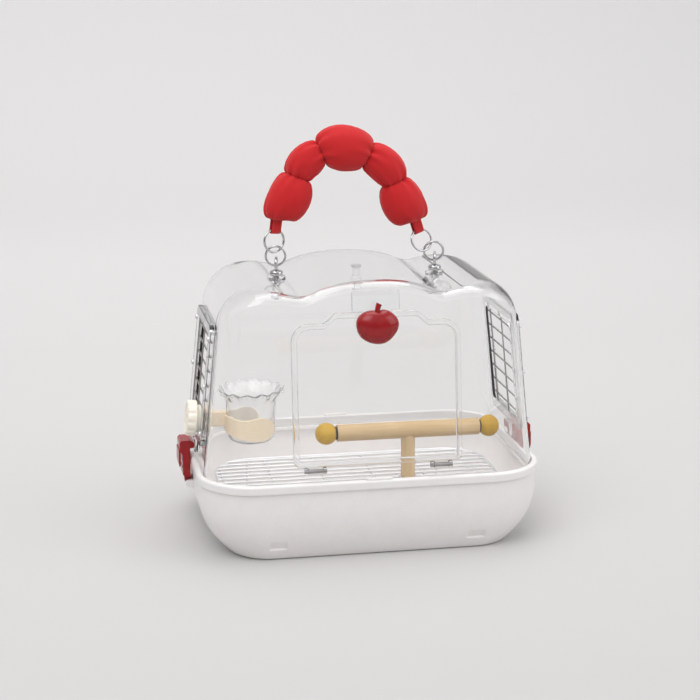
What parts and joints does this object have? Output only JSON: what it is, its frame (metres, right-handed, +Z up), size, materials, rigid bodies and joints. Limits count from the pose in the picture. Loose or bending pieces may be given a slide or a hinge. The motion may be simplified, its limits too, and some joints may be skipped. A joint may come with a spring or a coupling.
{
  "type": "bird travel carrier",
  "caption": "Small bird carrier: white tub with a clear domed cover, front door, side window grilles, wooden perch on a wire grate, feeding cup and stuffed carrying handle.",
  "frame": {"origin": "middle of the tub's footprint, on the surface that the carrier stands on", "axes": "+X to the right seen from the door, +Y from the door to the back, +Z up"},
  "size_m": [0.3322, 0.222, 0.3709],
  "materials": {
    "tub": "satin",
    "clear": "polished",
    "red_plastic": "glossy",
    "cream_plastic": "satin",
    "bracket_plastic": "satin",
    "chrome": "polished",
    "steel": "satin",
    "dark_steel": "satin",
    "wood": "satin",
    "yellow_wood": "satin",
    "spacer": "matte",
    "plush": "matte",
    "webbing": "matte"
  },
  "bodies": {
    "base": {"base_tub": "tub", "latch_pins": "steel"},
    "grate": {"floor_grate": "steel"},
    "perch": {"perch_post": "wood", "perch_dowel": "wood", "left_bead": "yellow_wood", "right_bead": "yellow_wood", "perch_rings": "spacer", "perch_stud": "steel", "perch_washers": "steel"},
    "wing_nut": {"perch_wing_nut": "steel"},
    "left_latch_body": {"left_latch": "red_plastic"},
    "right_latch_body": {"right_latch": "red_plastic"},
    "cover": {"cover_shell": "clear", "left_window_frame": "clear", "right_window_frame": "clear", "left_grille": "steel", "right_grille": "steel", "window_screws": "steel", "roof_hook": "clear", "door_catch": "clear", "door_hinge_pins": "dark_steel", "cup_bracket": "bracket_plastic", "cup_bolt": "steel"},
    "door_body": {"door": "clear"},
    "fruit": {"fruit_knob": "red_plastic", "knob_screw": "steel", "knob_washer": "steel"},
    "cup": {"food_cup": "clear"},
    "bracket_knob": {"cup_knob": "cream_plastic"},
    "handle": {"handle_plush": "plush", "left_strap": "webbing", "right_strap": "webbing", "left_big_ring": "chrome", "right_big_ring": "chrome", "left_small_ring": "chrome", "right_small_ring": "chrome"},
    "left_swivel": {"left_eye_bolt": "chrome", "left_eye_nut": "steel"},
    "right_swivel": {"right_eye_bolt": "chrome", "right_eye_nut": "steel"}
  },
  "joints": [
    {"name": "left_latch_turn", "type": "hinge", "parent": "base", "child": "left_latch_body", "pos_m": [-0.15704, 0, 0.047], "axis": [0, -1, 0], "range_deg": [0, 120]},
    {"name": "right_latch_turn", "type": "hinge", "parent": "base", "child": "right_latch_body", "pos_m": [0.15704, 0, 0.047], "axis": [0, 1, 0], "range_deg": [0, 120]},
    {"name": "grate_lift", "type": "slide", "parent": "base", "child": "grate", "axis": [0, 0, 1], "range_m": [0, 0.038]},
    {"name": "perch_turn", "type": "hinge", "parent": "grate", "child": "perch", "pos_m": [0.0445, -0.022, 0.045], "axis": [0, 0, 1], "range_deg": [-50, 50]},
    {"name": "wing_nut_turn", "type": "hinge", "parent": "perch", "child": "wing_nut", "pos_m": [0.0445, -0.022, 0.037], "axis": [0, 0, 1], "continuous": true},
    {"name": "cover_lift", "type": "slide", "parent": "base", "child": "cover", "axis": [0, 0, 1], "range_m": [0, 0.2]},
    {"name": "door_swing", "type": "hinge", "parent": "cover", "child": "door_body", "pos_m": [0, -0.10602, 0.0822], "axis": [1, 0, 0], "range_deg": [0, 110]},
    {"name": "knob_turn", "type": "hinge", "parent": "door_body", "child": "fruit", "pos_m": [0, -0.08959, 0.20552], "axis": [0, -0.9942, 0.1073], "range_deg": [0, 90]},
    {"name": "handle_swing", "type": "hinge", "parent": "cover", "child": "handle", "pos_m": [0, 0, 0.2465], "axis": [1, 0, 0], "range_deg": [-65, 65]},
    {"name": "left_swivel_turn", "type": "hinge", "parent": "cover", "child": "left_swivel", "pos_m": [-0.0733, 0, 0.24], "axis": [0, 0, 1], "range_deg": [-8, 8]},
    {"name": "right_swivel_turn", "type": "hinge", "parent": "cover", "child": "right_swivel", "pos_m": [0.0733, 0, 0.24], "axis": [0, 0, 1], "range_deg": [-8, 8]},
    {"name": "cup_lift", "type": "slide", "parent": "cover", "child": "cup", "axis": [0, 0, 1], "range_m": [0, 0.038]},
    {"name": "cup_knob_turn", "type": "hinge", "parent": "cover", "child": "bracket_knob", "pos_m": [-0.14463, -0.03, 0.11357], "axis": [-0.9945, 0, 0.1045], "continuous": true}
  ]
}
